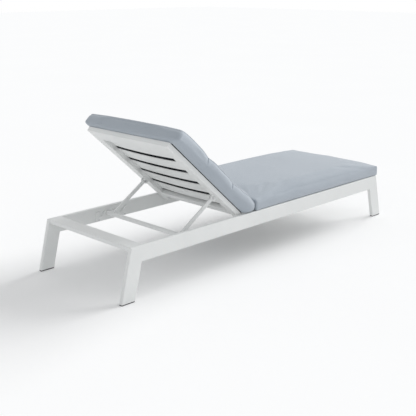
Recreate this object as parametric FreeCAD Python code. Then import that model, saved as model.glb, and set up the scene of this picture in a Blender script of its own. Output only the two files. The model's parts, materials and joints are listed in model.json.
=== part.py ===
import FreeCAD, Part
import math
import os

from FreeCAD import Placement, Rotation, Vector

# Sun lounger: a white tube frame on four splayed legs, a slatted backrest that a
# notched stay holds up, and two loose cushions. Millimetres. The origin is on the
# floor under the middle, +X runs to the foot end, +Y to the lying person's left.

# Frame
overall_length = 2000.0
overall_width = 632.0
rail_top = 250.0
tube_depth = 74.0
tube_thickness = 20.0
tube_wall = 2.0
tube_corner = 3.0
leg_splay = 62.0
glide_height = 5.0
glide_inset = 1.5
glide_spigot = 18.0
glide_clearance = 0.2

# Seat base
hinge_beam_setback = 53.4
hinge_beam_height = 40.0
slat_thickness = 3.0
seat_slat_count = 10
seat_slat_gap = 29.4
ledge_leg = 20.0
ledge_wall = 3.0
spine_height = 30.0

# Backrest panel, sized as it lies flat
panel_length = 640.0
panel_head_gap = 11.6
panel_side_gap = 8.0
panel_depth = 25.0
stile_width = 50.0
stile_tail = 15.0
stile_wall = 2.0
top_rail_width = 74.0
bottom_rail_width = 37.0
bottom_rail_rise = 12.0
back_slat_count = 5
back_slat_gap = 28.6
back_slat_seam = 5.0
back_slat_bow = 6.0
panel_foot_opening = 48.0
rest_angle = 41.7
cap_thickness = 3.0
cap_spigot = 4.0
cap_clearance = 0.2

# Hinge hardware
bolt_radius = 5.0
bolt_head_radius = 9.0
bolt_head_height = 5.0
bush_radius = 8.0
bush_clearance = 0.02
running_clearance = 0.05
washer_radius = 12.0
washer_play = 0.2
nut_radius = 7.5
nut_length = 14.0

# Stay and its racks
stay_pivot_along = 198.0
stay_pivot_drop = 24.0
stay_length = 254.0
arm_inset = 9.0
arm_width = 18.0
arm_thickness = 8.0
arm_play = 0.4
bar_radius = 11.0
bar_wall = 1.5
bar_seat_drop = 35.7
bar_end_play = 0.5
weld_gap = 0.02
end_cap_thickness = 3.0
end_cap_spigot = 12.0
bracket_wall = 4.0
bracket_web = 2.0
bracket_length = 34.0
pin_radius = 4.0
pin_head_radius = 6.5
pin_head_height = 2.5
rack_thickness = 7.0
rack_foot_gap = 4.0
rack_rise = 14.0
rack_head_margin = 30.0
rack_foot_margin = 50.0
rack_corner = 6.0
notch_pitch = 43.0
notches_below_rest = 1
notches_above_rest = 2
notch_clearance = 0.6
notch_lean = 52.0
screw_radius = 2.5
screw_head_radius = 4.5
screw_head_height = 2.5
screw_drop = 30.0
screw_bite = 5.0
screw_clearance = 0.1

# Cushions
cushion_gap = 0.3
cushion_side_inset = 2.0
cushion_bow = 2.0
seat_cushion_tuck = 4.0
back_cushion_tuck = 20.0
cushion_draw_in = 4.0
cushion_corner = 14.0
end_round = 16.0
seat_cushion_setback = 84.4
seat_cushion_overhang = 4.0
seat_cushion_edge = 62.0
seat_cushion_arch = 16.0
seat_cushion_crown = 8.0
back_cushion_overhang = 15.0
back_cushion_edge = 82.0
back_cushion_crown = 92.0
back_cushion_top_thinning = 3.0
back_cushion_tail = 24.0
back_cushion_heel = 9.0
back_cushion_nose = 60.0
back_cushion_nose_fall = 15.0
back_cushion_segments = 3
cushion_least_crown = 1.0
crease_depth = 12.0
crease_shoulder = 0.22
end_station = 0.25

# How far a cutter passes the face that it cuts through
overcut = 1.0

# Places that follow from the sizes above
rail_half_length = overall_length / 2 - leg_splay
rail_y = overall_width / 2 - tube_thickness / 2
inner_face_y = overall_width / 2 - tube_thickness
beam_inner_x = rail_half_length - tube_depth
rail_bottom = rail_top - tube_depth
splay = math.atan2(leg_splay, rail_top - glide_height)
hinge_x = panel_head_gap + panel_length - beam_inner_x
hinge_beam_start = hinge_x + hinge_beam_setback
hinge_beam_end = hinge_beam_start + tube_thickness
slat_bottom = rail_top - slat_thickness
hinge_z = rail_top - panel_depth / 2
panel_side_y = inner_face_y - panel_side_gap
stile_inner_y = panel_side_y - stile_width
rack_face_y = inner_face_y - rack_thickness
arm_y = stile_inner_y + arm_inset
bar_seat_height = rail_top - bar_seat_drop
cushion_half_width = overall_width / 2 - cushion_side_inset
seat_cushion_head = hinge_x + seat_cushion_setback
seat_cushion_foot = rail_half_length + seat_cushion_overhang
back_cushion_top = panel_length + back_cushion_overhang
UP = Vector(0, 0, 1)
ALONG = Vector(1, 0, 0)
ACROSS = Vector(0, 1, 0)
LEFT = 1
RIGHT = -1
HINGE = Vector(hinge_x, 0, hinge_z)


def turned_on_hinge(point):
    """Where a point of the flat backrest stands once the backrest is raised."""
    return HINGE + Rotation(ACROSS, rest_angle).multVec(point - HINGE)


def raised(shape):
    """The flat backrest's shape, turned up about the hinge to where it rests."""
    turned = shape.copy()
    turned.rotate(HINGE, ACROSS, rest_angle)
    return turned


def mirrored_to(side, shape):
    """A shape made for the left side, on the side that is asked for."""
    if side == LEFT:
        return shape
    return shape.mirror(Vector(0, 0, 0), ACROSS)


def flat_bar(length, width, depth):
    """Solid bar along +X from the origin, centred on the axis."""
    return Part.makeBox(length, width, depth, Vector(0, -width / 2, -depth / 2))


def rounded_bar(length, width, depth, corner):
    """Solid bar along +X from the origin, with round long edges."""
    bar = flat_bar(length, width, depth)
    long_edges = [edge for edge in bar.Edges if edge.BoundBox.XLength > length / 2]
    return bar.makeFillet(corner, long_edges)


def tube(length, width, depth, wall):
    """Hollow rectangular tube along +X from the origin."""
    outside = rounded_bar(length, width, depth, tube_corner)
    return outside.cut(flat_bar(length, width - 2 * wall, depth - 2 * wall))


def placed(shape, position, direction=ALONG):
    """A shape made along +X, moved to a place and turned to a direction."""
    moved = shape.copy()
    moved.Placement = Placement(position, Rotation(ALONG, direction))
    return moved


def half_space(point, normal):
    """A block that fills everything beyond a plane."""
    reach = 2 * overall_length
    block = Part.makeBox(reach, reach, reach, Vector(-reach / 2, -reach / 2, 0))
    block.Placement = Placement(point, Rotation(UP, normal))
    return block


def rod(radius, start_y, end_y, x, z):
    """Round rod across the lounger, from one y to another."""
    return Part.makeCylinder(radius, end_y - start_y, Vector(x, start_y, z), ACROSS)


def hex_head(radius, start_y, end_y, x, z):
    """Six-sided head across the lounger, from one y to another."""
    points = [Vector(x + radius * math.cos(turn * math.pi / 3), start_y,
                     z + radius * math.sin(turn * math.pi / 3)) for turn in range(7)]
    return Part.Face(Part.makePolygon(points)).extrude(ACROSS * (end_y - start_y))


# Mitre between a side rail and its leg at the foot end
corner_point = Vector(rail_half_length, 0, rail_top)
leg_direction = Vector(math.sin(splay), 0, -math.cos(splay))
mitre_normal = Vector(math.cos(splay), 0, -(1 - math.sin(splay)))


def rack_screw_places():
    """The x and z of the screws that hold one rack to its rail."""
    height = bar_seat_height - screw_drop
    return [
        (rack_start_x + rack_head_margin / 2, height),
        (rack_end_x - rack_foot_margin / 2, height),
    ]


def side_rail(side):
    """Side rail with mitred ends and the holes for the hinge nut and the rack screws."""
    rail = placed(tube(2 * rail_half_length, tube_thickness, tube_depth, tube_wall),
                  Vector(-rail_half_length, rail_y, rail_top - tube_depth / 2))
    foot_mitre = half_space(corner_point, mitre_normal)
    rail = rail.cut(foot_mitre).cut(foot_mitre.mirror(Vector(0, 0, 0), ALONG))
    wall_start = inner_face_y - overcut
    wall_end = inner_face_y + tube_wall + overcut
    rail = rail.cut(rod(nut_radius + bush_clearance, wall_start, wall_end, hinge_x, hinge_z))
    for x, z in rack_screw_places():
        rail = rail.cut(rod(screw_radius + screw_clearance, wall_start, wall_end, x, z))
    return mirrored_to(side, rail)


def along_leg(make_bar):
    """A bar of the foot-left leg's length and place, made by a function of its length."""
    inward = Vector(-math.cos(splay), 0, -math.sin(splay))
    start = corner_point + inward * (tube_depth / 2) + Vector(0, rail_y, 0)
    start = start - leg_direction * tube_depth
    length = tube_depth * 2 + rail_top / math.cos(splay)
    return placed(make_bar(length), start, leg_direction)


def to_end(toward_foot, shape):
    """A shape made at the foot end, at the end that is asked for."""
    if toward_foot:
        return shape
    return shape.mirror(Vector(0, 0, 0), ALONG)


def leg(toward_foot, side):
    """Splayed leg: mitred to the rail above, cut level over its glide."""
    bar = along_leg(lambda length: tube(length, tube_thickness, tube_depth, tube_wall))
    bar = bar.cut(half_space(corner_point, mitre_normal * -1))
    bar = bar.cut(half_space(Vector(0, 0, glide_height), UP * -1))
    return to_end(toward_foot, mirrored_to(side, bar))


def slab(bottom, top):
    """Everything between two heights."""
    reach = 2 * overall_length
    return Part.makeBox(reach, reach, top - bottom, Vector(-reach / 2, -reach / 2, bottom))


def glide(toward_foot, side):
    """Plastic glide under a leg, with a spigot up into the tube."""
    sole_taken = 2 * glide_inset
    sole = along_leg(lambda length: rounded_bar(length, tube_thickness - sole_taken,
                                                tube_depth - sole_taken, tube_corner - glide_inset))
    sole = sole.common(slab(0, glide_height))
    bore_taken = 2 * (tube_wall + glide_clearance)
    spigot = along_leg(lambda length: flat_bar(length, tube_thickness - bore_taken,
                                               tube_depth - bore_taken))
    spigot = spigot.common(slab(glide_height, glide_height + glide_spigot))
    return to_end(toward_foot, mirrored_to(side, sole.fuse(spigot).removeSplitter()))


def cross_tube(width, height, centre_x, centre_z):
    """Tube across the lounger, butted between the side rails."""
    bar = tube(2 * inner_face_y, width, height, tube_wall)
    return placed(bar, Vector(centre_x, -inner_face_y, centre_z), ACROSS)


def end_beam(toward_foot):
    """The frame's tube laid flat between the rails, flush with their tops and ends."""
    centre_x = rail_half_length - tube_depth / 2
    beam = cross_tube(tube_depth, tube_thickness, centre_x, rail_top - tube_thickness / 2)
    return to_end(toward_foot, beam)


def hinge_beam():
    """Tube on edge where the seat base ends under the backrest."""
    centre_x = (hinge_beam_start + hinge_beam_end) / 2
    return cross_tube(tube_thickness, hinge_beam_height, centre_x, rail_top - hinge_beam_height / 2)


def seat_spine():
    """Tube along the middle that the seat slats lie on."""
    bar = tube(beam_inner_x - hinge_beam_end, tube_thickness, spine_height, tube_wall)
    return placed(bar, Vector(hinge_beam_end, 0, slat_bottom - spine_height / 2))


def seat_ledge(side):
    """Angle along a rail's inner face that carries the slats' ends."""
    inner = inner_face_y - ledge_leg
    step = inner_face_y - ledge_wall
    outline = Part.makePolygon([
        Vector(hinge_beam_end, inner, slat_bottom),
        Vector(hinge_beam_end, inner_face_y, slat_bottom),
        Vector(hinge_beam_end, inner_face_y, slat_bottom - ledge_leg),
        Vector(hinge_beam_end, step, slat_bottom - ledge_leg),
        Vector(hinge_beam_end, step, slat_bottom - ledge_wall),
        Vector(hinge_beam_end, inner, slat_bottom - ledge_wall),
        Vector(hinge_beam_end, inner, slat_bottom),
    ])
    angle = Part.Face(outline).extrude(ALONG * (beam_inner_x - hinge_beam_end))
    return mirrored_to(side, angle)


def slat(half_length, width, start_x):
    """Flat slat across, its face flush with the rail tops."""
    bar = flat_bar(2 * half_length, width, slat_thickness)
    centre = Vector(start_x + width / 2, -half_length, rail_top - slat_thickness / 2)
    return placed(bar, centre, ACROSS)


def seat_slats():
    """The seat's slats, which share the length between the hinge beam and the foot beam."""
    step = (beam_inner_x - hinge_beam_end - seat_slat_gap) / seat_slat_count
    first = hinge_beam_end + seat_slat_gap
    width = step - seat_slat_gap
    return [slat(inner_face_y, width, first + i * step) for i in range(seat_slat_count)]


# Backrest: modelled flat, then raised

panel_top_x = hinge_x - panel_length


def stile_bush_hole():
    """The hole through a left stile for its bush."""
    return rod(bush_radius + bush_clearance, stile_inner_y - overcut, panel_side_y + overcut,
               hinge_x, hinge_z)


def top_mitre(side_of_cut):
    """Everything beyond the mitre at the panel's upper left corner."""
    corner = Vector(panel_top_x, panel_side_y, hinge_z)
    across_mitre = Vector(stile_width, top_rail_width, 0).normalize()
    return half_space(corner, across_mitre * side_of_cut)


def stile(side):
    """Backrest stile, mitred to the top rail and bored for its hinge bush."""
    length = panel_length + stile_tail
    bar = tube(length, stile_width, panel_depth, stile_wall)
    bar = placed(bar, Vector(panel_top_x, panel_side_y - stile_width / 2, hinge_z))
    bar = bar.cut(top_mitre(-1)).cut(stile_bush_hole())
    return raised(mirrored_to(side, bar))


def back_top_rail():
    """Top rail of the backrest, mitred between the stiles."""
    bar = tube(2 * panel_side_y, top_rail_width, panel_depth, stile_wall)
    bar = placed(bar, Vector(panel_top_x + top_rail_width / 2, -panel_side_y, hinge_z), ACROSS)
    mitre = top_mitre(1)
    return raised(bar.cut(mitre).cut(mirrored_to(RIGHT, mitre)))


def back_bottom_rail():
    """Bottom rail of the backrest, square between the stiles just above the hinge."""
    bar = tube(2 * stile_inner_y, bottom_rail_width, panel_depth, stile_wall)
    upper_edge_x = hinge_x - panel_foot_opening - bottom_rail_rise
    centre = Vector(upper_edge_x + bottom_rail_width / 2, -stile_inner_y, hinge_z)
    return raised(placed(bar, centre, ACROSS))


def bowed_slat(width, start_x):
    """Backrest slat whose ends are flush with the front and whose middle bows back."""
    def bowed_edge(height):
        start = Vector(start_x, -stile_inner_y, height)
        middle = Vector(start_x, 0, height - back_slat_bow)
        return Part.Arc(start, middle, Vector(start_x, stile_inner_y, height)).toShape()

    front = bowed_edge(rail_top)
    rear = bowed_edge(slat_bottom)
    ends = [Part.LineSegment(Vector(start_x, y, rail_top), Vector(start_x, y, slat_bottom)).toShape()
            for y in (-stile_inner_y, stile_inner_y)]
    outline = Part.Wire(Part.sortEdges([front, rear] + ends)[0])
    return Part.Face(outline).extrude(ALONG * width)


def back_slats():
    """Backrest slats between the stiles, which share the length from the top rail to the foot opening."""
    first = panel_top_x + top_rail_width + back_slat_seam
    step = (hinge_x - panel_foot_opening - first) / back_slat_count
    width = step - back_slat_gap
    return [raised(bowed_slat(width, first + i * step)) for i in range(back_slat_count)]


def stile_cap(side):
    """Plug in a stile's lower end."""
    end_x = hinge_x + stile_tail
    plate = rounded_bar(cap_thickness, stile_width, panel_depth, tube_corner)
    taken = 2 * (stile_wall + cap_clearance)
    spigot = flat_bar(cap_spigot, stile_width - taken, panel_depth - taken)
    centre_y = panel_side_y - stile_width / 2
    plate = placed(plate, Vector(end_x, centre_y, hinge_z))
    spigot = placed(spigot, Vector(end_x - cap_spigot, centre_y, hinge_z))
    return raised(mirrored_to(side, plate.fuse(spigot)))


def hinge_bush(side):
    """Plain bush through a stile, round the hinge bolt."""
    bush = rod(bush_radius, stile_inner_y, panel_side_y, hinge_x, hinge_z)
    bore = rod(bolt_radius + running_clearance, stile_inner_y - overcut, panel_side_y + overcut,
               hinge_x, hinge_z)
    return raised(mirrored_to(side, bush.cut(bore)))


def hinge_bolt(side):
    """Shouldered bolt from inside the stile into the rail's nut."""
    head_y = stile_inner_y - washer_play
    shank = rod(bolt_radius, head_y, inner_face_y + nut_length, hinge_x, hinge_z)
    head = hex_head(bolt_head_radius, head_y - bolt_head_height, head_y, hinge_x, hinge_z)
    return mirrored_to(side, shank.fuse(head))


def hinge_washer(side):
    """Spacer between the stile and the rail."""
    start = panel_side_y + washer_play
    washer = rod(washer_radius, start, inner_face_y, hinge_x, hinge_z)
    bore = rod(bolt_radius + running_clearance, start - overcut, inner_face_y + overcut, hinge_x, hinge_z)
    return mirrored_to(side, washer.cut(bore))


def hinge_nut(side):
    """Nut set in the rail's inner wall for the hinge bolt."""
    nut = rod(nut_radius, inner_face_y, inner_face_y + nut_length, hinge_x, hinge_z)
    bore = rod(bolt_radius + bush_clearance, inner_face_y - overcut,
               inner_face_y + nut_length + overcut, hinge_x, hinge_z)
    return mirrored_to(side, nut.cut(bore))


# Stay: hung from brackets behind the stiles, its bar in a notch of the racks

flat_pivot = Vector(hinge_x - stay_pivot_along, 0, hinge_z - stay_pivot_drop)
pivot = turned_on_hinge(flat_pivot)
stay_slope = math.asin((pivot.z - bar_seat_height) / stay_length)
bar_x = pivot.x - stay_length * math.cos(stay_slope)
rack_start_x = bar_x - notches_below_rest * notch_pitch - rack_head_margin
rack_end_x = bar_x + notches_above_rest * notch_pitch + rack_foot_margin
bracket_inner = arm_thickness / 2 + arm_play
bracket_outer = bracket_inner + bracket_wall


def stay_bracket(side):
    """Channel bracket on a stile's back: a web on the stile and two ears for the pin."""
    face_z = hinge_z - panel_depth / 2
    ear_depth = stay_pivot_drop - panel_depth / 2 + arm_width / 2
    start = Vector(flat_pivot.x - bracket_length / 2, arm_y - bracket_outer, face_z - ear_depth)
    block = Part.makeBox(bracket_length, 2 * bracket_outer, ear_depth, start)
    corners = [edge for edge in block.Edges
               if edge.BoundBox.YLength > bracket_outer and edge.BoundBox.ZMax < face_z - ear_depth / 2]
    block = block.makeFillet(arm_width / 2, corners)
    channel = Part.makeBox(bracket_length, 2 * bracket_inner, ear_depth - bracket_web,
                           Vector(start.x, arm_y - bracket_inner, start.z))
    bracket = block.cut(channel)
    hole = rod(pin_radius + weld_gap, arm_y - 2 * bracket_outer, arm_y + 2 * bracket_outer,
               flat_pivot.x, flat_pivot.z)
    return raised(mirrored_to(side, bracket.cut(hole)))


def stay_pin(side):
    """Headed pin through a bracket's ears and the stay arm."""
    pin = rod(pin_radius, arm_y - bracket_outer, arm_y + bracket_outer, flat_pivot.x, flat_pivot.z)
    inner_head = rod(pin_head_radius, arm_y - bracket_outer - pin_head_height, arm_y - bracket_outer,
                     flat_pivot.x, flat_pivot.z)
    outer_head = rod(pin_head_radius, arm_y + bracket_outer, arm_y + bracket_outer + pin_head_height,
                     flat_pivot.x, flat_pivot.z)
    return raised(mirrored_to(side, pin.fuse([inner_head, outer_head])))


def stay_arm(side):
    """Flat arm with a round, bored head, saddled on the crossbar at its lower end."""
    start_y = arm_y - arm_thickness / 2
    blade = Part.makeBox(stay_length, arm_thickness, arm_width,
                         Vector(-stay_length, start_y, -arm_width / 2))
    head = rod(arm_width / 2, start_y, start_y + arm_thickness, 0, 0)
    cut_from = start_y - overcut
    cut_to = start_y + arm_thickness + overcut
    hole = rod(pin_radius + running_clearance, cut_from, cut_to, 0, 0)
    saddle = rod(bar_radius + weld_gap, cut_from, cut_to, -stay_length, 0)
    arm = blade.fuse(head).removeSplitter().cut(hole).cut(saddle)
    arm.rotate(Vector(0, 0, 0), ACROSS, -math.degrees(stay_slope))
    arm.translate(pivot)
    return mirrored_to(side, arm)


bar_half_length = rack_face_y - bar_end_play - end_cap_thickness


def stay_crossbar():
    """Round tube that joins the arms and drops into the racks' notches."""
    bar = rod(bar_radius, -bar_half_length, bar_half_length, bar_x, bar_seat_height)
    bore_reach = bar_half_length + overcut
    bore = rod(bar_radius - bar_wall, -bore_reach, bore_reach, bar_x, bar_seat_height)
    return bar.cut(bore)


def stay_end_cap(side):
    """Plug in the crossbar's end."""
    plate = rod(bar_radius, bar_half_length, bar_half_length + end_cap_thickness, bar_x, bar_seat_height)
    spigot = rod(bar_radius - bar_wall - bush_clearance, bar_half_length - end_cap_spigot,
                 bar_half_length, bar_x, bar_seat_height)
    return mirrored_to(side, plate.fuse(spigot))


def notch(x):
    """Leaning slot with a round bottom, open at the top towards the foot end."""
    radius = bar_radius + notch_clearance
    cut_from = rack_face_y - overcut
    bottom = rod(radius, cut_from, inner_face_y + overcut, x, bar_seat_height)
    throat = Part.makeBox(2 * (rack_rise + bar_radius), rack_thickness + 2 * overcut, 2 * radius,
                          Vector(0, cut_from, -radius))
    throat.rotate(Vector(0, 0, 0), ACROSS, -notch_lean)
    throat.translate(Vector(x, 0, bar_seat_height))
    return bottom.fuse(throat)


def rack(side):
    """Notched plate on a rail's inner face, which the stay's bar rests in."""
    bottom = rail_bottom + rack_foot_gap
    plate = Part.makeBox(rack_end_x - rack_start_x, rack_thickness, bar_seat_height + rack_rise - bottom,
                         Vector(rack_start_x, rack_face_y, bottom))
    corners = [edge for edge in plate.Edges if edge.BoundBox.YLength > rack_thickness / 2]
    plate = plate.makeFillet(rack_corner, corners)
    for step in range(-notches_below_rest, notches_above_rest + 1):
        plate = plate.cut(notch(bar_x + step * notch_pitch))
    for x, z in rack_screw_places():
        hole = rod(screw_radius + screw_clearance, rack_face_y - overcut, inner_face_y + overcut, x, z)
        plate = plate.cut(hole)
    return mirrored_to(side, plate)


def rack_screws(side):
    """Screws through one rack into the rail's wall."""
    screws = []
    for x, z in rack_screw_places():
        shank = rod(screw_radius, rack_face_y, inner_face_y + screw_bite, x, z)
        head = hex_head(screw_head_radius, rack_face_y - screw_head_height, rack_face_y, x, z)
        screws.append(mirrored_to(side, shank.fuse(head)))
    return screws


# Cushions: lofts through outlines with a flat base, bowed sides and a crowned top

def cushion_outline(x, half_width, tuck, base, edge, crown):
    """Closed outline across a cushion at one place along it, its sides tucked in at the base."""
    def at(y, z):
        return Vector(x, y, rail_top + cushion_gap + z)

    corner = min(cushion_corner, (edge - base) / 2)
    side_top = edge - corner
    turn_y = half_width - corner * (1 - math.sqrt(0.5))
    turn_z = edge - corner * (1 - math.sqrt(0.5))
    bow_z = (base + side_top) / 2
    base_y = half_width - tuck
    top_y = half_width - corner
    return Part.Wire([
        Part.LineSegment(at(-base_y, base), at(base_y, base)).toShape(),
        Part.Arc(at(base_y, base), at(half_width + cushion_bow, bow_z),
                 at(half_width, side_top)).toShape(),
        Part.Arc(at(half_width, side_top), at(turn_y, turn_z), at(top_y, edge)).toShape(),
        Part.Arc(at(top_y, edge), at(0, crown), at(-top_y, edge)).toShape(),
        Part.Arc(at(-top_y, edge), at(-turn_y, turn_z), at(-half_width, side_top)).toShape(),
        Part.Arc(at(-half_width, side_top), at(-half_width - cushion_bow, bow_z),
                 at(-base_y, base)).toShape(),
    ])


def drawn_in(share):
    """Half width at a share of the length: fullest at the corners, drawn in between."""
    return cushion_half_width - cushion_draw_in * math.sin(math.pi * share)


def end_fall(distance):
    """How far the surface falls away within the rounding of a cushion's end."""
    if distance >= end_round:
        return 0.0
    return end_round - math.sqrt(end_round ** 2 - (end_round - distance) ** 2)


def seat_cushion():
    """Boxed seat cushion whose edges arch along it, crowned across, with rounded ends."""
    length = seat_cushion_foot - seat_cushion_head
    near_end = [0.0, end_station * end_round, end_round]
    places = near_end + [length * quarter / 4 for quarter in (1, 2, 3)]
    places += [length - place for place in reversed(near_end)]
    outlines = []
    for place in places:
        fall = end_fall(min(place, length - place))
        share = place / length
        fullness = math.sqrt(math.sin(math.pi * share))
        edge = seat_cushion_edge + seat_cushion_arch * fullness - fall
        crown = edge + max(seat_cushion_crown * fullness, cushion_least_crown)
        outlines.append(cushion_outline(seat_cushion_head + place, drawn_in(share) - fall,
                                        seat_cushion_tuck, 0.0, edge, crown))
    return Part.makeLoft(outlines, True, True)


def back_cushion():
    """Back cushion: three soft segments between sewn creases, with a full rounded heel."""
    segment = (back_cushion_top + back_cushion_tail) / back_cushion_segments
    length = back_cushion_top + back_cushion_tail
    shares = [0.0, crease_shoulder, 0.5, 1 - crease_shoulder]
    places = [segment * (index + share) for index in range(back_cushion_segments) for share in shares]
    places[0:1] = [0.0, back_cushion_tail / 2, back_cushion_tail + back_cushion_heel]
    places += [length - end_round, length - end_station * end_round, length]
    outlines = []
    for place in sorted(places):
        share = place / length
        swell = math.sqrt(abs(math.sin(math.pi * place / segment)))
        inside = segment / 2 < place < length - segment / 2
        sink = crease_depth * (1 - swell) if inside else 0.0
        heel = max(0.0, 1 - place / (back_cushion_tail + back_cushion_heel))
        base = back_cushion_nose * heel
        fall = end_fall(length - place)
        edge = back_cushion_edge - back_cushion_top_thinning * share - sink - fall
        edge -= back_cushion_nose_fall * heel
        rise = back_cushion_crown - back_cushion_edge
        if place < segment / 2 or place > length - segment / 2:
            rise = max(cushion_least_crown, rise * swell)
        tuck = back_cushion_tuck * min(1.0, (edge - base) / back_cushion_edge)
        outlines.append(cushion_outline(hinge_x + back_cushion_tail - place, drawn_in(share) - fall / 2,
                                        tuck, base, edge, edge + rise))
    return raised(Part.makeLoft(outlines, True, True))


def group(solids):
    """Identical small pieces kept together as one node."""
    return Part.makeCompound(solids)


SIDES = {"left": LEFT, "right": RIGHT}
ENDS = {"head": False, "foot": True}


def frame_nodes():
    nodes = {"hinge_beam": hinge_beam(), "seat_spine": seat_spine()}
    for name, side in SIDES.items():
        nodes[name + "_side_rail"] = side_rail(side)
        nodes[name + "_seat_ledge"] = seat_ledge(side)
        nodes[name + "_rack"] = rack(side)
        for end, toward_foot in ENDS.items():
            nodes[end + "_" + name + "_leg"] = leg(toward_foot, side)
            nodes[end + "_" + name + "_glide"] = glide(toward_foot, side)
    for end, toward_foot in ENDS.items():
        nodes[end + "_end_beam"] = end_beam(toward_foot)
    for number, shape in enumerate(seat_slats(), start=1):
        nodes["seat_slat_%d" % number] = shape
    nodes["rack_screws"] = group(rack_screws(LEFT) + rack_screws(RIGHT))
    nodes["hinge_bolts"] = group([hinge_bolt(LEFT), hinge_bolt(RIGHT)])
    nodes["hinge_washers"] = group([hinge_washer(LEFT), hinge_washer(RIGHT)])
    nodes["hinge_nuts"] = group([hinge_nut(LEFT), hinge_nut(RIGHT)])
    nodes["seat_cushion"] = seat_cushion()
    return nodes


def backrest_nodes():
    nodes = {"back_top_rail": back_top_rail(), "back_bottom_rail": back_bottom_rail()}
    for name, side in SIDES.items():
        nodes["back_" + name + "_stile"] = stile(side)
        nodes[name + "_stay_bracket"] = stay_bracket(side)
    for number, shape in enumerate(back_slats(), start=1):
        nodes["back_slat_%d" % number] = shape
    nodes["stay_pivot_pins"] = group([stay_pin(LEFT), stay_pin(RIGHT)])
    nodes["stile_caps"] = group([stile_cap(LEFT), stile_cap(RIGHT)])
    nodes["hinge_bushes"] = group([hinge_bush(LEFT), hinge_bush(RIGHT)])
    nodes["back_cushion"] = back_cushion()
    return nodes


def stay_nodes():
    nodes = {"stay_crossbar": stay_crossbar()}
    for name, side in SIDES.items():
        nodes[name + "_stay_arm"] = stay_arm(side)
    nodes["stay_end_caps"] = group([stay_end_cap(LEFT), stay_end_cap(RIGHT)])
    return nodes


os.makedirs("parts", exist_ok=True)
for nodes in (frame_nodes(), backrest_nodes(), stay_nodes()):
    for node, shape in nodes.items():
        shape.exportStep("parts/" + node + ".step")
        sound = shape.isValid() and all(solid.isClosed() for solid in shape.Solids)
        volume = round(shape.Volume / 1000, 1)
        print(node, len(shape.Solids), "solids", volume, "cm3", "sound" if sound else "BROKEN")
print("stay pivot", pivot, "bar", round(bar_x, 1), "slope", round(math.degrees(stay_slope), 2))
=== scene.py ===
# %% [markdown]
# # A sun lounger, dressed
# The lounger is a low white tube frame with a slatted backrest, held up by a stay, and two grey-blue
# cushions. The metal comes ready-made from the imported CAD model, and this lesson gives it its finishes,
# its cushions, a floor, a light and a camera. All lengths are in metres, in the frame of the CAD model:
# +X goes to the foot end, +Z up.

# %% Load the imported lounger
import json
import math

import bpy
import numpy as np
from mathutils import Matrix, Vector


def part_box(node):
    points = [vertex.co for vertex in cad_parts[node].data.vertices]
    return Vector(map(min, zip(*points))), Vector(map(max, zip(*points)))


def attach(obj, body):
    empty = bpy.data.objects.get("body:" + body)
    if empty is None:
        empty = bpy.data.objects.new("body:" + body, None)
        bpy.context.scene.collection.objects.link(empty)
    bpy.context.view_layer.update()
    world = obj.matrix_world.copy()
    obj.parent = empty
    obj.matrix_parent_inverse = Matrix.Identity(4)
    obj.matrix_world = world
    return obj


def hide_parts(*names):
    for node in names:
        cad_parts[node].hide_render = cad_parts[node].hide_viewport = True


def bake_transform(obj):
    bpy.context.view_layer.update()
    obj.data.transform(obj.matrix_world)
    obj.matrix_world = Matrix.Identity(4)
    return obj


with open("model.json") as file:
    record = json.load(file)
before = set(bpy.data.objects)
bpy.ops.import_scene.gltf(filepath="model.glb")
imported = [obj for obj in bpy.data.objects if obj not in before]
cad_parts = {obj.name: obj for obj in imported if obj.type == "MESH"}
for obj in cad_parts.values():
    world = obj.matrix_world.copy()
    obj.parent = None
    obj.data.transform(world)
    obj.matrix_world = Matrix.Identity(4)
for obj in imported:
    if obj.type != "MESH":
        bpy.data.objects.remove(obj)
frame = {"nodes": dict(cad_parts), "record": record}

scene = bpy.context.scene
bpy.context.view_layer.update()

# %% [markdown]
# ## The camera
# The picture was taken from beyond the head end, a little above the backrest, with a longish lens, so
# the far rail is only slightly shorter than the near one. The place and the angles were worked out from
# the corners of the frame in the picture. A camera could also aim at a target object, but a direction
# written as two angles needs no helper.

# %% Camera at the photograph's viewing angle
eye = Vector((-2.9925, -2.8145, 1.3493))
heading = 0.781
tilt_down = 0.278
sight = Vector((
    math.cos(tilt_down) * math.cos(heading),
    math.cos(tilt_down) * math.sin(heading),
    -math.sin(tilt_down),
))
lens = bpy.data.cameras.new("lounger_camera")
lens.lens = 68.58
lens.sensor_width = 36.0
camera = bpy.data.objects.new("lounger_camera", lens)
camera.location = eye
camera.rotation_euler = sight.to_track_quat("-Z", "Y").to_euler()
scene.collection.objects.link(camera)
scene.camera = camera
print("camera looks along", [round(v, 3) for v in sight])

# %% [markdown]
# ## The studio
# Product pictures like this one are taken in a white tent: light comes from all round, and one broad lamp
# beyond the foot end gives the soft shadow under the frame. An area lamp could do that too, but a sun
# lamp with a wide disc doesn't fade with distance, so it lights a floor of any size.

# %% Broad lamp from beyond the foot end
lamp_data = bpy.data.lights.new("broad_lamp", "SUN")
lamp_data.energy = 2.3
lamp_data.angle = math.radians(40)
lamp = bpy.data.objects.new("broad_lamp", lamp_data)
towards_lamp = Vector((0.88, -0.08, 0.47)).normalized()
lamp.rotation_euler = (-towards_lamp).to_track_quat("-Z", "Y").to_euler()
scene.collection.objects.link(lamp)
scene.view_settings.view_transform = "Standard"
print("lamp stands", round(math.degrees(math.asin(towards_lamp.z))), "degrees above the floor")

# %% [markdown]
# The white of the tent is a world. Only the camera, the reflections and what is seen through glass get it
# at full strength. The light that it gives to the lounger is lower, so that pale surfaces don't burn out.

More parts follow.
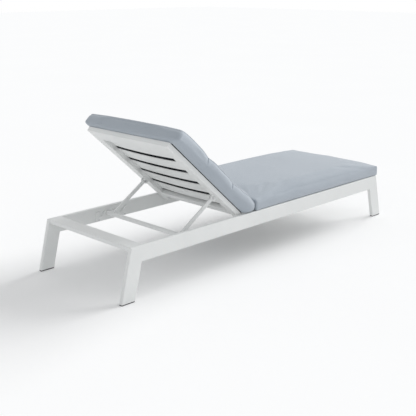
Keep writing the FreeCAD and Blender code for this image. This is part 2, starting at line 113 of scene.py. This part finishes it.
# %% White surround
surround = bpy.data.worlds.new("white_surround")
scene.world = surround
surround.use_nodes = True
sky = surround.node_tree
sky.nodes.clear()
seen_white = sky.nodes.new("ShaderNodeBackground")
seen_white.inputs["Color"].default_value = (1.0, 1.0, 1.0, 1.0)
seen_white.inputs["Strength"].default_value = 1.0
fill_light = sky.nodes.new("ShaderNodeBackground")
fill_light.inputs["Color"].default_value = (0.98, 0.99, 1.0, 1.0)
fill_light.inputs["Strength"].default_value = 0.65
ray = sky.nodes.new("ShaderNodeLightPath")
seen = ray.outputs["Is Camera Ray"]
for kind in ("Is Glossy Ray", "Is Transmission Ray"):
    either = sky.nodes.new("ShaderNodeMath")
    either.operation = "MAXIMUM"
    sky.links.new(seen, either.inputs[0])
    sky.links.new(ray.outputs[kind], either.inputs[1])
    seen = either.outputs[0]
pick = sky.nodes.new("ShaderNodeMixShader")
sky.links.new(seen, pick.inputs["Fac"])
sky.links.new(fill_light.outputs[0], pick.inputs[1])
sky.links.new(seen_white.outputs[0], pick.inputs[2])
sky_out = sky.nodes.new("ShaderNodeOutputWorld")
sky.links.new(pick.outputs[0], sky_out.inputs["Surface"])
print("fill light", fill_light.inputs["Strength"].default_value)

# %% [markdown]
# ## Helpers for finishes
# Every finish here is a node material on the Principled shader. Noise and waves are laid out in object
# coordinates, in metres, so their grain has a true size and needs no unwrapping.

# %% A finish starts from the shader and the piece's own coordinates
def new_finish(name):
    """A node material, its shader, and the coordinates of the piece that wears it."""
    finish = bpy.data.materials.new(name)
    finish.use_nodes = True
    shader = finish.node_tree.nodes["Principled BSDF"]
    place = finish.node_tree.nodes.new("ShaderNodeTexCoord")
    return finish, shader, place.outputs["Object"]


def connect(finish, output, socket):
    """Link a node's output to a socket."""
    finish.node_tree.links.new(output, socket)


def grain(finish, place, scale, detail=2.0):
    """Noise with about this many grains to the metre."""
    node = finish.node_tree.nodes.new("ShaderNodeTexNoise")
    node.inputs["Scale"].default_value = scale
    node.inputs["Detail"].default_value = detail
    connect(finish, place, node.inputs["Vector"])
    return node.outputs["Fac"]


print("finishes start from noise in metres")

# %% Shades, spans and relief
def shades(finish, amount, dark, light, low=0.3, high=0.7):
    """A colour between dark and light, by an amount."""
    ramp = finish.node_tree.nodes.new("ShaderNodeValToRGB")
    ramp.color_ramp.elements[0].position = low
    ramp.color_ramp.elements[0].color = (*dark, 1.0)
    ramp.color_ramp.elements[1].position = high
    ramp.color_ramp.elements[1].color = (*light, 1.0)
    connect(finish, amount, ramp.inputs["Fac"])
    return ramp.outputs["Color"]


def span(finish, amount, low, high):
    """An amount from 0 to 1, stretched to run from low to high."""
    node = finish.node_tree.nodes.new("ShaderNodeMapRange")
    node.inputs["To Min"].default_value = low
    node.inputs["To Max"].default_value = high
    connect(finish, amount, node.inputs["Value"])
    return node.outputs["Result"]


def relief(finish, shader, height, depth, strength):
    """Bumps on the shader's surface, from a height."""
    bump = finish.node_tree.nodes.new("ShaderNodeBump")
    bump.inputs["Distance"].default_value = depth
    bump.inputs["Strength"].default_value = strength
    connect(finish, height, bump.inputs["Height"])
    connect(finish, bump.outputs["Normal"], shader.inputs["Normal"])


print("finish helpers ready")

# %% [markdown]
# ## The floor
# The floor is a pale paper sweep. It is large, so its edge lies beyond the horizon of the camera, and it
# keeps the shadow. A faint mottle stops it from being a perfectly even colour.

# %% Pale floor
floor_finish, floor_shader, floor_place = new_finish("pale_floor")
floor_mottle = grain(floor_finish, floor_place, scale=0.8)
floor_tone = shades(floor_finish, floor_mottle, dark=(0.985, 0.985, 0.985), light=(0.992, 0.992, 0.992))
connect(floor_finish, floor_tone, floor_shader.inputs["Base Color"])
floor_shader.inputs["Roughness"].default_value = 0.9
floor_shader.inputs["Specular IOR Level"].default_value = 0.0
floor_half = 30.0
floor_corners = [(x * floor_half, y * floor_half, 0) for x, y in ((-1, -1), (1, -1), (1, 1), (-1, 1))]
floor_mesh = bpy.data.meshes.new("floor")
floor_mesh.from_pydata(floor_corners, [], [(0, 1, 2, 3)])
floor_mesh.materials.append(floor_finish)
floor = bpy.data.objects.new("floor", floor_mesh)
scene.collection.objects.link(floor)
print("floor", floor_half * 2, "m across")

# %% [markdown]
# ## White powder coat
# The tubes, slats, stay and racks are aluminium with a baked powder coat: an even white with a half-matt
# gloss and the fine orange-peel relief that the melted powder leaves, about a millimetre across. A flat
# white would look like card, so the relief and a slight change of gloss are what make it read as paint on
# metal.

# %% Powder coat on the metal
def powder_coat(name, dark, light):
    """White paint with faint clouds, orange peel and an uneven gloss."""
    finish, shader, place = new_finish(name)
    cloudy = grain(finish, place, scale=6.0)
    connect(finish, shades(finish, cloudy, dark, light), shader.inputs["Base Color"])
    peel = grain(finish, place, scale=900.0, detail=1.0)
    connect(finish, span(finish, peel, low=0.38, high=0.52), shader.inputs["Roughness"])
    relief(finish, shader, peel, depth=0.0003, strength=0.12)
    shader.inputs["Specular IOR Level"].default_value = 0.4
    return finish


white_coat = powder_coat("white_powder_coat", dark=(0.77, 0.785, 0.78), light=(0.81, 0.82, 0.815))
print("powder coat made")

# %% [markdown]
# ## Fittings
# The hinge bushes, washers and end plugs are white nylon, a little waxy and warmer than the paint. The
# glides under the legs are black plastic with a fine moulded texture. Bolts, pins and screws are stainless
# steel, whose surface shows as fine specks of brighter and duller gloss.

# %% White nylon
nylon, nylon_shader, nylon_place = new_finish("white_nylon")
nylon_cloud = grain(nylon, nylon_place, scale=60.0)
nylon_tone = shades(nylon, nylon_cloud, dark=(0.78, 0.78, 0.76), light=(0.83, 0.83, 0.81))
connect(nylon, nylon_tone, nylon_shader.inputs["Base Color"])
connect(nylon, span(nylon, nylon_cloud, low=0.42, high=0.55), nylon_shader.inputs["Roughness"])
print("nylon made")

# %% Black plastic
glide_plastic, glide_shader, glide_place = new_finish("black_glide_plastic")
glide_pits = grain(glide_plastic, glide_place, scale=1400.0, detail=1.0)
glide_tone = shades(glide_plastic, glide_pits, dark=(0.025, 0.025, 0.028), light=(0.05, 0.05, 0.055))
connect(glide_plastic, glide_tone, glide_shader.inputs["Base Color"])
glide_shader.inputs["Roughness"].default_value = 0.6
relief(glide_plastic, glide_shader, glide_pits, depth=0.0002, strength=0.3)
print("glides' plastic made")

# %% Stainless steel
stainless, stainless_shader, stainless_place = new_finish("stainless_steel")
stainless_specks = grain(stainless, stainless_place, scale=700.0)
stainless_tone = shades(stainless, stainless_specks, dark=(0.55, 0.55, 0.56), light=(0.72, 0.72, 0.73))
stainless_gloss = span(stainless, stainless_specks, low=0.22, high=0.4)
connect(stainless, stainless_tone, stainless_shader.inputs["Base Color"])
connect(stainless, stainless_gloss, stainless_shader.inputs["Roughness"])
stainless_shader.inputs["Metallic"].default_value = 1.0
print("stainless steel made")

# %% [markdown]
# ## Dress the metal
# The record says which material slot each CAD node has, so one small table from slot to finish dresses
# the frame.

# %% Each CAD node takes its slot's finish
finish_of_slot = {
    "frame_tube": white_coat, "slats": white_coat, "stay": white_coat, "racks": white_coat,
    "plastic_fittings": nylon, "glides": glide_plastic, "fasteners": stainless,
}
dressed = 0
for subpart in frame["record"]["subparts"]:
    if subpart["material_slot"] in finish_of_slot:
        mesh = frame["nodes"][subpart["node"]].data
        mesh.materials.clear()
        mesh.materials.append(finish_of_slot[subpart["material_slot"]])
        dressed += 1
print("dressed", dressed, "metal and plastic nodes")

# %% [markdown]
# ## Woven cover cloth
# The covers are a solution-dyed outdoor weave: pale grey-blue yarns, each a little lighter or darker than
# the next, crossing about every millimetre and a half. Three sets of waves, one along each direction of
# the cushion, add up to a grid of small bumps on every face, whichever way it looks. Streaks that are long
# in one direction colour the yarns. An unwrapped picture of cloth would show its seams; this has none.

# %% Helpers for yarns
yarn_pitch = 0.0016
# At a scale of 1, a texture of bands repeats every tenth of pi.
bands_repeat = math.pi / 10


def yarn_waves(finish, place, direction):
    """Ridges one yarn apart along one direction."""
    node = finish.node_tree.nodes.new("ShaderNodeTexWave")
    node.wave_type = "BANDS"
    node.bands_direction = direction
    node.inputs["Scale"].default_value = bands_repeat / yarn_pitch
    node.inputs["Distortion"].default_value = 0.6
    node.inputs["Detail"].default_value = 1.0
    node.inputs["Detail Scale"].default_value = 3.0
    connect(finish, place, node.inputs["Vector"])
    return node.outputs["Fac"]


def added(finish, first, second):
    """The sum of two amounts."""
    node = finish.node_tree.nodes.new("ShaderNodeMath")
    node.operation = "ADD"
    connect(finish, first, node.inputs[0])
    connect(finish, second, node.inputs[1])
    return node.outputs[0]


def turned_place(finish, place, turn, stretch=(1.0, 1.0, 1.0)):
    """Coordinates turned to lie along a cushion, squeezed where streaks should be long."""
    node = finish.node_tree.nodes.new("ShaderNodeMapping")
    node.inputs["Rotation"].default_value = (0.0, turn, 0.0)
    node.inputs["Scale"].default_value = stretch
    connect(finish, place, node.inputs["Vector"])
    return node.outputs["Vector"]


print("yarns cross every", yarn_pitch * 1000, "mm")

# %% Cover cloth in the cushion's own directions
streak_scale, streak_squeeze = 420.0, 0.05


def cover_cloth(name, turn, dark, light):
    """Woven cloth for a cushion that is turned about Y."""
    finish, shader, place = new_finish(name)
    along = turned_place(finish, place, turn)
    weave = added(finish, yarn_waves(finish, along, "X"), yarn_waves(finish, along, "Y"))
    weave = added(finish, weave, yarn_waves(finish, along, "Z"))
    warp = grain(finish, turned_place(finish, place, turn, (streak_squeeze, 1.0, 1.0)), streak_scale)
    weft = grain(finish, turned_place(finish, place, turn, (1.0, streak_squeeze, 1.0)), streak_scale)
    yarns = span(finish, added(finish, warp, weft), low=-0.5, high=0.5)
    faded = grain(finish, place, scale=5.0)
    tone = span(finish, added(finish, yarns, faded), low=-0.15, high=0.85)
    connect(finish, shades(finish, tone, dark, light, low=0.2, high=0.8), shader.inputs["Base Color"])
    relief(finish, shader, weave, depth=0.0006, strength=0.25)
    shader.inputs["Roughness"].default_value = 0.85
    shader.inputs["Specular IOR Level"].default_value = 0.2
    shader.inputs["Sheen Weight"].default_value = 0.35
    shader.inputs["Sheen Roughness"].default_value = 0.5
    return finish


recline = next(joint for joint in frame["record"]["behaviour"]["joints"] if joint["name"] == "back_recline")
lean = math.radians(-recline["range_deg"][0])
yarn_dark, yarn_light = (0.340, 0.385, 0.435), (0.410, 0.455, 0.505)
seat_cloth = cover_cloth("seat_cover_cloth", 0.0, yarn_dark, yarn_light)
back_cloth = cover_cloth("back_cover_cloth", -lean, yarn_dark, yarn_light)
print("backrest leans", round(math.degrees(lean), 1), "degrees")

# %% [markdown]
# ## Near-black base cloth, a painted shade
# Between the slats the cushion's underside is nearly black. The flat of the underside takes a near-black
# cloth in place of the pale cover, as painted shade for the deep shade between the slats. It is a dull,
# close cloth with hardly any sheen.

# %% Base cloth, painted near-black for shade
shade_base_cloth, base_shader, base_place = new_finish("near_black_painted_shade_cloth")
base_nap = grain(shade_base_cloth, base_place, scale=900.0)
# Near-black tones: painted shade for the deep shade seen between the slats.
painted_shade_tone = shades(shade_base_cloth, base_nap, dark=(0.010, 0.012, 0.016), light=(0.022, 0.025, 0.032))
connect(shade_base_cloth, painted_shade_tone, base_shader.inputs["Base Color"])
base_shader.inputs["Roughness"].default_value = 0.95
base_shader.inputs["Specular IOR Level"].default_value = 0.1
relief(shade_base_cloth, base_shader, base_nap, depth=0.0004, strength=0.3)
print("base cloth made")

# %% [markdown]
# ## A sewn box for a cushion
# A cushion cover is six flat panels sewn into a box. The mesh starts the same way, as a lattice of cells
# on the six sides, with the lattice lines closer together near the edges, where the form turns. Each
# lattice point keeps its three shares of the box, along, across and up, so that a later step can find the
# base, a seam or a channel. A remeshed cube would lose those.

# %% Lattice of a sewn box
def eased(count, crowd=0.3):
    """Lattice lines from 0 to 1, closer together at both ends."""
    steps = np.linspace(0.0, 1.0, count + 1)
    return steps - crowd * np.sin(2 * math.pi * steps) / (2 * math.pi)


def sewn_box(name, lines):
    """A box of lattice cells, each point's shares of the box, and its number by cell."""
    cells = [len(places) - 1 for places in lines]
    number, shares, panels = {}, [], []

    def corner(cell):
        """The number of a lattice point, which is made at its first use."""
        if cell not in number:
            number[cell] = len(shares)
            shares.append([lines[axis][cell[axis]] for axis in range(3)])
        return number[cell]

    for axis in range(3):
        first, second = (axis + 1) % 3, (axis + 2) % 3
        for side in (0, cells[axis]):
            for i in range(cells[first]):
                for j in range(cells[second]):
                    ring = []
                    for di, dj in ((0, 0), (1, 0), (1, 1), (0, 1)):
                        cell = [0, 0, 0]
                        cell[axis], cell[first], cell[second] = side, i + di, j + dj
                        ring.append(corner(tuple(cell)))
                    panels.append(ring if side else ring[::-1])
    mesh = bpy.data.meshes.new(name)
    mesh.from_pydata([tuple(share) for share in shares], [], panels)
    piece = bpy.data.objects.new(name, mesh)
    scene.collection.objects.link(piece)
    return piece, np.array(shares), number


print("a cushion starts as a lattice box")

# %% [markdown]
# Foam rounds the edges of the cover, while the sewn corners stay crisp. A point near an edge is drawn
# towards the core of the box and pushed out again by the radius that the edge has there. Each of the box's
# six sides brings its own radius, point by point, so an edge can be tight below and soft above. A bevel
# modifier has one width for all, which would make every corner alike.

# %% Rounded edges
tiny = 1e-9


def dome(share, power):
    """One in the middle and nothing at both ends; a higher power is flatter between them."""
    return 1 - np.abs(2 * share - 1) ** power


def ease(share):
    """A smooth step from 0 to 1."""
    share = np.clip(share, 0, 1)
    return share * share * (3 - 2 * share)


def mixed(first, second, share):
    """The first value at a share of 0, the second at a share of 1."""
    return first + (second - first) * share


def edge_radius(below, at_corners, between, place, power, up):
    """Radius along an edge: tight below, and above it one at the corners and one between."""
    return mixed(below, mixed(at_corners, between, dome(place, power)), ease(up))


def rounded(shares, size, low_radius, high_radius):
    """The shares of the box once every edge is rounded by the radii of its sides."""
    points = shares * size
    core = np.clip(points, low_radius, size - high_radius)
    radius = np.where(points < size / 2, low_radius, high_radius)
    away = (points - core) / radius
    reach = np.linalg.norm(away, axis=1, keepdims=True)
    turned = core + away / np.maximum(reach, tiny) * radius
    return np.where(reach > tiny, turned, points) / size


print("edges are rounded by radius")

# %% [markdown]
# ## Stuffing by simulation
# Foam presses the cover outwards. Blender's cloth with a little pressure and no gravity does that: the
# base, which lies on the slats, is held, the stiff sewn corners, edges and channels are held a little
# less, and the rest swells between them. The movement is capped, so that the cushion keeps the size it has
# on the real lounger.

# %% Let the foam press the cover out
last_step = 20


def stuffed(piece, hold, cap, pressure):
    """Swell a cover by cloth pressure, with some points held and the movement capped."""
    held = piece.vertex_groups.new(name="held")
    for index, weight in enumerate(hold):
        if weight > 0:
            held.add([index], float(weight), "REPLACE")
    cloth = piece.modifiers.new("stuffing", "CLOTH")
    cloth.settings.quality = 5
    cloth.settings.mass = 0.3
    cloth.settings.tension_stiffness = 15
    cloth.settings.compression_stiffness = 15
    cloth.settings.bending_stiffness = 0.5
    cloth.settings.use_pressure = True
    cloth.settings.uniform_pressure_force = pressure
    cloth.settings.effector_weights.gravity = 0
    cloth.settings.vertex_group_mass = "held"
    cloth.collision_settings.use_collision = False
    start = np.array([vertex.co for vertex in piece.data.vertices])
    for step in range(1, last_step + 1):
        scene.frame_set(step)
    swollen = piece.evaluated_get(bpy.context.evaluated_depsgraph_get())
    moved = np.array([vertex.co for vertex in swollen.to_mesh().vertices]) - start
    swollen.to_mesh_clear()
    piece.modifiers.remove(cloth)
    scene.frame_set(1)
    far = np.linalg.norm(moved, axis=1, keepdims=True)
    moved *= np.minimum(1.0, cap / np.maximum(far, tiny))
    piece.data.vertices.foreach_set("co", (start + moved).ravel())
    piece.data.update()
    print(piece.name, "swelled by up to", round(float(np.linalg.norm(moved, axis=1).max()) * 1000, 1), "mm")


print("the simulation takes", last_step, "steps")

# %% Where a cover is held
base_share, edge_share, corner_reach = 0.01, 0.001, 0.09


def on_base(shares):
    """Which points lie on the underside."""
    return shares[:, 2] < base_share


def on_upper_edge(shares):
    """Which points lie on the seam round the top."""
    at_side = np.minimum(shares[:, :2], 1 - shares[:, :2]).min(axis=1) < edge_share
    return at_side & (shares[:, 2] > 1 - edge_share)


def near_corner(shares, size):
    """Nearness to the closest upright corner: one on it, fading away from it."""
    away = np.minimum(shares[:, :2], 1 - shares[:, :2]) * size[:2]
    return np.exp(-(away ** 2).sum(axis=1) / corner_reach ** 2)


print("a corner's hold fades within", corner_reach, "m")

# %% [markdown]
# ## The seat cushion
# The seat cushion is a plain boxed pad, more than half the lounger's length. The base edge is tight on the
# slats, the upper edge softer, and the corners crisp.

# %% Box and edges of the seat cushion
seat_low, seat_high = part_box("seat_cushion")
seat_edge = 0.064
seat_size = np.array((seat_high.x - seat_low.x, seat_high.y - seat_low.y, seat_edge))
seat_lines = (eased(count=110), eased(count=62), eased(count=10))
seat_piece, seat_shares, seat_number = sewn_box("seat_cushion_cover", seat_lines)
along, across, up = seat_shares.T
end_soft = edge_radius(below=0.006, at_corners=0.007, between=0.014, place=across, power=8, up=up)
side_soft = edge_radius(below=0.008, at_corners=0.010, between=0.038, place=along, power=8, up=up)
base_radius, top_radius_at_ends, top_radius_between = 0.008, 0.010, 0.030
seat_base = np.full(len(up), base_radius)
seat_top = mixed(top_radius_at_ends, top_radius_between, dome(along, power=8))
seat_form = rounded(
    seat_shares, seat_size,
    low_radius=np.stack((end_soft, side_soft, seat_base), axis=1),
    high_radius=np.stack((end_soft, side_soft, seat_top), axis=1))
print("seat cushion's box", np.round(seat_size, 3), "with", len(seat_shares), "points")

# %% [markdown]
# Its upper edge rises in a long, low arch from the two ends, where the cover is sewn tightest, and the
# middle is a little fuller than the edge. It looks like a pad that has been sat on: the near edge and the
# near corners lie lower than the far ones, and the foot end isn't quite square. Each of these is one term
# added to the box's points, which is easier to adjust than a sculpted mesh.

# %% Arch, crown and worn edges of the seat cushion
seat_arch, seat_crown = 0.016, 0.011
near_corner_fall, near_side_fall = 0.010, 0.012
draw_in, skew = 0.003, 0.009
along, across, up = seat_form.T
fullness = np.sqrt(np.sin(math.pi * np.clip(along, 0, 1)))
crown = seat_crown * dome(across, power=8) * dome(along, power=4)
to_side = (1 - dome(np.clip(across, 0, 1), power=8)) * dome(along, power=8)
corner_fall = mixed(near_corner_fall, 0.0, across) * near_corner(seat_form, seat_size)
side_fall = mixed(near_side_fall, 0.0, across) * to_side
seat_points = np.array(seat_low) + seat_form * seat_size
seat_points[:, 2] += up * (seat_arch * fullness + crown)
seat_points[:, 2] -= up * (corner_fall + side_fall)
seat_points[:, 1] -= draw_in * (2 * across - 1) * dome(along, power=8)
seat_points[:, 0] -= draw_in * (2 * along - 1) * dome(across, power=8)
seat_points[:, 0] -= skew * (2 * across - 1) * np.clip(along, 0, 1) ** 6
seat_piece.data.vertices.foreach_set("co", seat_points.ravel())
seat_piece.data.update()
print("seat cushion", np.round(seat_points.max(axis=0) - seat_points.min(axis=0), 3))

# %% Stuff the seat cushion
seat_corner_hold = 0.9
seat_hold = np.maximum(on_base(seat_shares), seat_corner_hold * near_corner(seat_shares, seat_size))
stuffed(seat_piece, seat_hold, cap=0.005, pressure=0.8)
print("seat cushion held at", int(on_base(seat_shares).sum()), "points of its base")

# %% [markdown]
# ## The back cushion
# The back cushion lies on the panel, so its form is worked out along the panel (s), out from it (n) and
# across it (y), and then leaned back. Two sewn channels divide it into three puffs. Its sides lean out
# from a narrower base, and its lower end is a full nose that overhangs the hinge and runs back level, just
# above the rails.

# %% Back cushion along the panel
hinge = np.array(recline["pos_m"])
panel_up = np.array((-math.cos(lean), 0.0, math.sin(lean)))
panel_out = np.array((math.sin(lean), 0.0, math.cos(lean)))
cad_back = np.array([vertex.co for vertex in frame["nodes"]["back_cushion"].data.vertices]) - hinge
back_s, back_n = cad_back @ panel_up, cad_back @ panel_out
face_n = back_n.min()
nose_overhang, head_setback = 0.012, 0.004
nose_s, head_s = back_s.min() - nose_overhang, back_s.max() - head_setback
half_across = np.abs(cad_back[:, 1]).max()
print("back cushion along the panel", round(nose_s, 4), "to", round(head_s, 4))
print("its CAD solid is", round(back_n.max() - face_n, 4), "thick")

# %% Box of the back cushion, with lattice lines crowded at the channels
back_thick = 0.083
channels = (0.183, 0.410)
back_size = np.array((head_s - nose_s, 2 * half_across, back_thick))
channel_shares = (np.array(channels) - nose_s) / back_size[0]
beside_mm = np.array((-12.0, -8.0, -5.0, -3.0, -1.5, 0.0, 1.5, 3.0, 5.0, 8.0, 12.0))
beside = beside_mm / 1000 / back_size[0]
clear_of_beside = beside.max() * 1.2
plain_lines = [line for line in eased(count=130) if np.abs(channel_shares - line).min() > clear_of_beside]
along_lines = np.sort(np.concatenate([plain_lines] + [share + beside for share in channel_shares]))
back_lines = (along_lines, eased(count=62), eased(count=14))
back_piece, back_shares, back_number = sewn_box("back_cushion_cover", back_lines)
print("back cushion's box", np.round(back_size, 3), "with", len(along_lines), "lines along it")

# %% Edges of the back cushion
along, across, up = back_shares.T
nose_radius_below, nose_radius_above = 0.010, 0.022
nose_soft = mixed(nose_radius_below, nose_radius_above, ease(up))
head_soft = edge_radius(below=0.012, at_corners=0.022, between=0.024, place=across, power=10, up=up)
side_soft = edge_radius(below=0.010, at_corners=0.018, between=0.016, place=along, power=16, up=up)
base_radius, top_radius = 0.010, 0.026
back_base = np.full(len(up), base_radius)
back_top = np.full(len(up), top_radius)
back_form = rounded(
    back_shares, back_size,
    low_radius=np.stack((nose_soft, side_soft, back_base), axis=1),
    high_radius=np.stack((head_soft, side_soft, back_top), axis=1))
print("edge radii from", round(float(side_soft.min()), 3), "to", round(float(head_soft.max()), 3))

# %% [markdown]
# A channel pulls the face down in a soft valley and pinches the side edges in a short slit. The lowest
# puff is fullest just above the nose, and the highest one rounds off towards the head end.

# %% Puffs and channels
def bell(distance, width):
    """One at no distance, fading within a width."""
    return np.exp(-(distance / width) ** 2)


back_rise, valley_narrow, valley_wide, narrow_share = 0.008, 0.012, 0.05, 0.6
pinch_width, pinch_depth, slit_width = 0.035, 0.006, 0.0025
head_fall, head_fall_s = 0.017, 0.54
nose_puff, nose_puff_s, nose_puff_width = 0.009, 0.04, 0.045
along, across, up = back_form.T
s = nose_s + along * back_size[0]
puff, slit, pinch = np.ones(len(s)), np.zeros(len(s)), np.zeros(len(s))
for channel in channels:
    away = s - channel
    puff -= narrow_share * bell(away, valley_narrow) + (1 - narrow_share) * bell(away, valley_wide)
    pinch += bell(away, pinch_width)
    slit += bell(away, slit_width)
to_head = np.clip((s - head_fall_s) / (head_s - head_fall_s), 0, 1)
edge = back_thick - pinch_depth * pinch - head_fall * (1 - np.sqrt(1 - to_head ** 2))
edge += nose_puff * bell(s - nose_puff_s, nose_puff_width)
n = up * (edge + back_rise * dome(across, power=6) * dome(along, power=6) * puff)
print("back cushion is up to", round(float(n.max()), 3), "thick")

# %% [markdown]
# The nose's underside follows a slanting heel line until it meets the blunt front. A plain maximum of the
# two would leave a sharp line across the nose, so a square root blends them over a few millimetres. The
# head end bows out in the middle of its length, and draws in towards the base and towards the top.

# %% Nose and head end
heel_start, heel_slope, heel_blend, nose_share = 0.0085, 1.05, 0.006, 0.12
waist, head_waist = 0.55, 0.25
head_bow, head_draw_below, head_draw_above = 0.012, 0.014, 0.006
heel_line = heel_start - heel_slope * n
heel = (heel_line + nose_s + np.sqrt((heel_line - nose_s) ** 2 + heel_blend ** 2)) / 2
s = s + (heel - nose_s) * np.clip(1 - along / nose_share, 0, 1)
toward_head = np.clip(along, 0, 1)
at_head = toward_head ** 4
below = np.clip(1 - up / mixed(waist, head_waist, at_head), 0, 1) ** 2
above = np.clip((up - waist) / (1 - waist), 0, 1) ** 2
bow = head_bow * dome(across, power=2) - head_draw_below * below - head_draw_above * above
s += bow * toward_head ** 12
print("back cushion from", round(float(s.min()), 3), "to", round(float(s.max()), 3), "along the panel")

# %% [markdown]
# The sides bulge: they are widest about halfway up, and draw in most towards the base. The head corners
# flare out further. The near one is pointed, widest low down, and leans in above, while the far one stands
# upright, as on a cushion that has been pulled about.

# %% Sides, corners and slits
side_bulge, draw_below, draw_above, side_draw_in = 0.004, 0.023, 0.013, 0.002
head_spread, corner_flare = 0.010, 0.013
flare_height, flare_round, far_flare = 0.22, 0.1, 0.4
slit_depth, pinch_in, slit_from, slit_ramp = 0.007, 0.002, 0.4, 0.35
outward = np.sign(across - 0.5) * np.abs(2 * across - 1) ** 6
bulge = side_bulge - draw_below * below - mixed(draw_above, 0.0, at_head * across) * above
y = (2 * across - 1) * half_across + outward * (bulge - side_draw_in * dome(along, power=8))
from_point = (up - flare_height) / (1 - flare_height)
near_flare = np.clip(1 - np.sqrt(from_point ** 2 + flare_round ** 2), 0, 1)
flare = mixed(near_flare, far_flare, across) * (1 - below)
y += outward * (head_spread * toward_head ** 2 * (1 - below) + corner_flare * at_head * flare)
y -= outward * (slit_depth * slit + pinch_in * pinch) * ease((up - slit_from) / slit_ramp)
back_points = hinge + s[:, None] * panel_up + (n + face_n)[:, None] * panel_out
back_points[:, 1] = y
back_piece.data.vertices.foreach_set("co", back_points.ravel())
back_piece.data.update()
print("back cushion", np.round(back_points.max(axis=0) - back_points.min(axis=0), 3))

# %% Stuff the back cushion
edge_hold, corner_hold, channel_hold, channel_half = 0.6, 0.8, 0.9, 0.008
back_hold = np.maximum(on_base(back_shares), edge_hold * on_upper_edge(back_shares))
back_hold = np.maximum(back_hold, corner_hold * near_corner(back_shares, back_size))
for channel in channels:
    on_channel = (np.abs(s - channel) < channel_half) & (back_shares[:, 2] > slit_from)
    back_hold = np.maximum(back_hold, channel_hold * on_channel)
stuffed(back_piece, back_hold, cap=0.005, pressure=1.0)
print("back cushion held at", int(on_base(back_shares).sum()), "points of its base")

# %% [markdown]
# ## Cover and base
# The flat of the underside takes the near-black painted-shade cloth, and the cover wraps round the lower
# edges to meet it. The near-black reaches so close to the edges that a thin strip of it shows as a painted
# shadow line along the lower edges. One subdivision rounds what is left of the lattice.

# %% Cloth on the cushions
# How close the near-black comes to the edges: its edge shows as a painted shadow line along the lower edges.
base_half_along, base_half_across = 0.488, 0.497


def covered(piece, shares, cover):
    """Give a cushion its cover, its base cloth and one subdivision."""
    piece.data.materials.append(cover)
    piece.data.materials.append(shade_base_cloth)
    from_middle = np.abs(shares - 0.5)
    # Underside panels within these shares take the near-black painted-shade cloth.
    inside = on_base(shares) & (from_middle[:, 0] < base_half_along) & (from_middle[:, 1] < base_half_across)
    for panel in piece.data.polygons:
        panel.material_index = 1 if all(inside[v] for v in panel.vertices) else 0
        panel.use_smooth = True
    finer = piece.modifiers.new("finer", "SUBSURF")
    finer.levels = 1
    finer.render_levels = 1


covered(seat_piece, seat_shares, seat_cloth)
covered(back_piece, back_shares, back_cloth)
print("covers on")

# %% [markdown]
# ## Welts
# The cover's panels meet in a thin sewn welt along the edge of a cushion. Its cloth is coloured lighter than
# the cover, a painted highlight for the light that catches the edge. A bevelled edge of the cover itself
# would do from afar, but a thin tube is what is sewn in. It follows the lattice line on the edge, whose
# points are known, so the welt lies on the stuffed form.

# %% Welts round the upper edges
def welt(name, piece, cells, radius, cover):
    """A thin tube along some of a piece's points."""
    path = bpy.data.curves.new(name, "CURVE")
    path.dimensions = "3D"
    path.bevel_depth = radius
    path.bevel_resolution = 2
    line = path.splines.new("NURBS")
    line.points.add(len(cells) - 1)
    for point, cell in zip(line.points, cells):
        point.co = (*piece.data.vertices[cell].co, 1.0)
    line.order_u = 3
    line.use_cyclic_u = True
    cord = bpy.data.objects.new(name + "_line", path)
    mesh = bpy.data.meshes.new_from_object(cord)
    bpy.data.objects.remove(cord)
    made = bpy.data.objects.new(name, mesh)
    mesh.name = name
    mesh.materials.clear()
    mesh.materials.append(cover)
    for panel in mesh.polygons:
        panel.use_smooth = True
    scene.collection.objects.link(made)
    return made


def edge_loop(number, lines):
    """The numbers of the lattice points round the upper edge, in order."""
    long, wide, high = [len(places) - 1 for places in lines]
    loop = [(i, 0, high) for i in range(long)] + [(long, j, high) for j in range(wide)]
    loop += [(i, wide, high) for i in range(long, 0, -1)] + [(0, j, high) for j in range(wide, 0, -1)]
    return [number[cell] for cell in loop]


# The welts' colours are lighter than the cover's: a painted highlight along the cushions' edges.
back_welt_painted_highlight_cloth = cover_cloth("back_welt_painted_highlight_cloth", -lean, dark=(0.43, 0.465, 0.51), light=(0.50, 0.54, 0.58))
seat_welt_painted_highlight_cloth = cover_cloth("seat_welt_painted_highlight_cloth", 0.0, dark=(0.36, 0.405, 0.455), light=(0.43, 0.475, 0.525))
back_loop, seat_loop = edge_loop(back_number, back_lines), edge_loop(seat_number, seat_lines)
back_welt = welt("back_cushion_welt", back_piece, back_loop, radius=0.0026, cover=back_welt_painted_highlight_cloth)
seat_welt = welt("seat_cushion_welt", seat_piece, seat_loop, radius=0.0009, cover=seat_welt_painted_highlight_cloth)
print("welts of", len(back_welt.data.vertices), "and", len(seat_welt.data.vertices), "points")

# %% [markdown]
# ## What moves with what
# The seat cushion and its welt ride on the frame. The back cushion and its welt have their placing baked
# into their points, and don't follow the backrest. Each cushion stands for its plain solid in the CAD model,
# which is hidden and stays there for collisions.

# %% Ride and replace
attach(seat_piece, "frame")
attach(seat_welt, "frame")
for piece in (back_piece, back_welt):
    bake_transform(piece)
for piece, node in ((seat_piece, "seat_cushion"), (back_piece, "back_cushion")):
    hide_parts(node)
